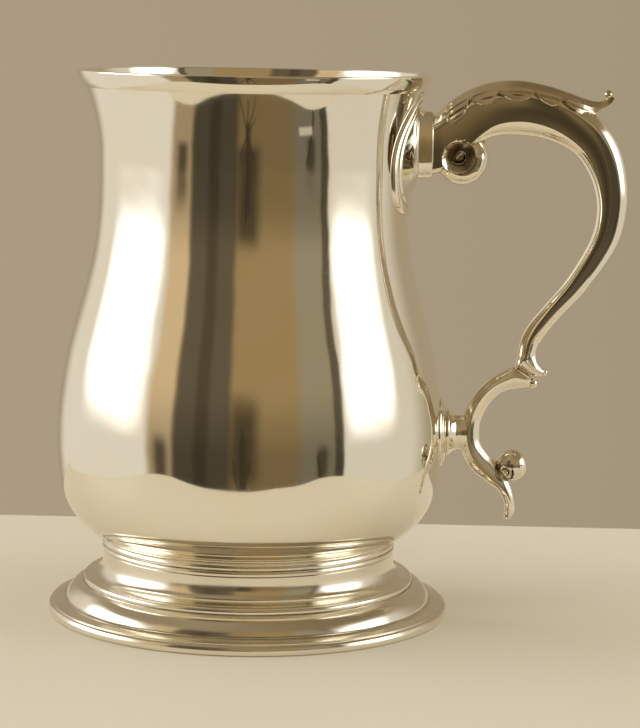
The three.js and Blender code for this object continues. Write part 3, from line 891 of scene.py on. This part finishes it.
# ---------------------------------------------------------------- table
def make_table():
    """A pale paper-covered plinth, whose back edge shows behind the mug."""
    mat = bpy.data.materials.new("table_paper")
    mat.use_nodes = True
    n = Nodes(mat.node_tree)
    where = n.add("ShaderNodeTexCoord").outputs["Object"]
    soft = n.noise(where, 9, 3, 0.5)
    shader = n.add("ShaderNodeBsdfPrincipled")
    n.set(shader.inputs["Base Color"], n.mix(soft, rgb(0.87, 0.83, 0.72), rgb(0.90, 0.86, 0.75)))
    n.set(shader.inputs["Roughness"], n.ramp(n.noise(where, 60, 4), 0.3, 0.7, 0.55, 0.7))
    shader.inputs["Specular IOR Level"].default_value = 0.25
    out = n.add("ShaderNodeOutputMaterial")
    n.set(out.inputs["Surface"], shader.outputs[0])
    x0, x1, y0, y1, corner = -0.235, 0.190, -0.195, 0.134, 0.07
    ring = []
    for cx, cy, start in ((x1, y1, 0), (x0, y1, 90), (x0, y0, 180), (x1, y0, 270)):
        r = 0.004 if cy > 0 else corner
        for k in range(17):
            a = math.radians(start + 90 * k / 16)
            ring.append((cx - math.copysign(r, cx) + r * math.cos(a),
                         cy - math.copysign(r, cy) + r * math.sin(a)))
    verts, m = [], len(ring)
    for inset, z in ((0.0006, 0.0), (0.0, -0.0006), (0.0, -0.25)):
        verts.extend((x - math.copysign(inset, x), y - math.copysign(inset, y), z) for x, y in ring)
    faces = [tuple(range(m)), tuple(range(3 * m - 1, 2 * m - 1, -1))]
    faces += [(i * m + k, (i + 1) * m + k, (i + 1) * m + (k + 1) % m, i * m + (k + 1) % m)
              for i in range(2) for k in range(m)]
    obj = new_object("table", verts, faces)
    outward(obj)
    obj.data.materials.append(mat)


make_table()


# ---------------------------------------------------------------- studio light
def make_studio():
    """Two tall soft boxes, a tan backdrop behind and a brown room in front, all far away."""
    world = bpy.data.worlds.new("studio")
    bpy.context.scene.world = world
    world.use_nodes = True
    n = Nodes(world.node_tree)
    split = n.add("ShaderNodeSeparateXYZ")
    n.set(split.inputs[0], n.add("ShaderNodeTexCoord").outputs["Generated"])
    x, y, z = split.outputs
    az = n.math("MULTIPLY", n.math("ARCTAN2", x, n.math("MULTIPLY", y, -1.0)), DEGREES)
    az = n.math("SUBTRACT", az, 3.0)
    el = n.math("MULTIPLY", n.math("ARCSINE", z), DEGREES)

    def scaled(colour, factor):
        node = n.add("ShaderNodeVectorMath", operation="SCALE")
        n.set(node.inputs[0], colour if isinstance(colour, bpy.types.NodeSocket) else colour[:3])
        n.set(node.inputs["Scale"], factor)
        return node.outputs[0]

    def over(colour, mask, c):
        return n.mix(mask, colour, rgb(*c))

    tan = rgb(0.385, 0.312, 0.212)
    side = n.math("ABSOLUTE", az)
    # the room in front, brown and darker low down, with a few upright things standing in it
    room = rgb(0.325, 0.225, 0.103)
    colour = room
    for lo, hi, soft, c in ((-66, -46, 2.5, (0.62, 0.46, 0.27)), (-46, -12, 2.5, (0.12, 0.096, 0.062)),
                            (-33, -25, 2.0, (0.085, 0.064, 0.040)), (30, 52, 4.0, (0.30, 0.255, 0.17)),
                            (51, 57, 1.0, (0.11, 0.09, 0.06))):
        colour = over(colour, n.band(az, lo, hi, soft), c)
    colour = scaled(colour, n.ramp(el, -8, 13, 0.55, 1.0))
    for (a0, a1, e0, e1, soft) in ((-12, 4, -16, 9, 5), (-6, -2, -30, 0, 1.5), (-58, -50, -16, -2, 3),
                                   (40, 46, -20, -4, 2)):
        mask = n.math("MULTIPLY", n.band(az, a0, a1, soft), n.band(el, e0, e1, soft))
        colour = over(colour, n.math("MULTIPLY", mask, 0.85), (0.045, 0.034, 0.02))
    colour = over(colour, n.ramp(el, -52, -64), (0.16, 0.10, 0.044))
    # a lighting stand: a post with spread legs, and a pale card to its right
    for foot, slope, wide, e0, e1 in ((-5, 0.0, 0.5, -44, 2), (-5, 0.30, 0.45, -46, -8),
                                      (-5, -0.32, 0.45, -46, -8),
                                      (-4, 0.55, 0.35, -34, -24), (44, 0.22, 0.8, -44, -6)):
        lean = n.math("ADD", az, n.math("MULTIPLY", n.math("ADD", el, 24.0), slope))
        leg = n.math("MULTIPLY", n.band(lean, foot - wide, foot + wide, 0.35), n.band(el, e0, e1, 1.0))
        colour = over(colour, n.math("MULTIPLY", leg, 0.9), (0.04, 0.03, 0.018))
    card = n.math("MULTIPLY", n.band(az, 34, 44, 0.8), n.band(el, -27, -22, 1.0))
    colour = over(colour, card, (0.50, 0.44, 0.34))
    colour = n.mix(n.ramp(side, 60, 100), colour, tan)
    # pale wall round each soft box, then its bright face
    for lo, hi, low, c in ((-150, -63, 10, (0.74, 0.67, 0.57)), (57, 122, 5, (0.66, 0.60, 0.50))):
        inner = 3.0 if lo < 0 else 1.2
        a = n.ramp(az, lo - (low if lo < 0 else inner), lo + (low if lo < 0 else inner))
        b = n.ramp(az, hi - (inner if lo < 0 else 14), hi + (inner if lo < 0 else 14), 1.0, 0.0)
        colour = over(colour, n.math("MULTIPLY", n.math("MULTIPLY", a, b), n.band(el, -58, 30, 6)), c)
    for lo, hi, soft, power in ((-117, -72, 9, 3.4), (62, 95, 7, 3.0)):
        inward = n.ramp(el, 12, 30, 0.0, 7.0)
        near = n.math("ADD", az, n.math("MULTIPLY", inward, 1.0 if lo < 0 else -1.0))
        box = n.math("MULTIPLY", n.band(near, lo, hi, soft), n.band(el, 2, 30, 7))
        colour = over(colour, box, (power, power * 0.985, power * 0.94))
    # ceiling
    above = n.mix(n.ramp(az, -60, 60), rgb(0.33, 0.26, 0.17), rgb(0.24, 0.18, 0.10))
    colour = n.mix(n.ramp(el, 30, 44), colour, above)

    # the camera sees only the tan backdrop, with painted shading: lighter to the left, darker to the right
    seen = n.add("ShaderNodeLightPath").outputs["Is Camera Ray"]
    colour = n.mix(seen, colour, scaled(tan, n.math("SUBTRACT", 1.0, n.math("MULTIPLY", x, 0.35))))
    ground = n.add("ShaderNodeBackground")
    n.set(ground.inputs["Color"], colour)
    ground.inputs["Strength"].default_value = 1.0
    out = n.add("ShaderNodeOutputWorld")
    n.set(out.inputs["Surface"], ground.outputs[0])


def make_fill():
    """A broad lamp overhead that only lights the paper."""
    data = bpy.data.lights.new("fill", "AREA")
    data.size, data.energy, data.color = 1.4, FILL_WATTS, (1.0, 0.97, 0.90)
    lamp = bpy.data.objects.new("fill", data)
    bpy.context.scene.collection.objects.link(lamp)
    lamp.location, lamp.visible_glossy = (0.0, -0.1, 1.3), False


make_studio()
make_fill()
bpy.context.scene.view_settings.view_transform = "Standard"

# ---------------------------------------------------------------- camera
def make_camera():
    """760 mm from the body's axis and 181 mm up, looking 8 degrees down past the belly."""
    handle, yaw, pitch, roll_angle = (math.radians(a) for a in (3.0, 1.575, 7.92, 1.0))
    distance = 0.760
    heading = yaw - handle
    forward = np.array([math.sin(heading) * math.cos(pitch), math.cos(heading) * math.cos(pitch),
                        -math.sin(pitch)])
    level = np.array([math.cos(heading), -math.sin(heading), 0.0])
    upright = np.cross(level, forward)
    right = math.cos(roll_angle) * level + math.sin(roll_angle) * upright
    up = -math.sin(roll_angle) * level + math.cos(roll_angle) * upright
    place = (AXIS_X / 1000 + distance * math.sin(handle), -distance * math.cos(handle), 0.18126)
    data = bpy.data.cameras.new("camera")
    data.lens, data.sensor_width = 125.5, 36
    cam = bpy.data.objects.new("camera", data)
    bpy.context.scene.collection.objects.link(cam)
    m = Matrix.Identity(4)
    for k, column in enumerate((right, up, -forward, place)):
        for row in range(3):
            m[row][k] = column[row]
    cam.matrix_world = m
    bpy.context.scene.camera = cam


make_camera()
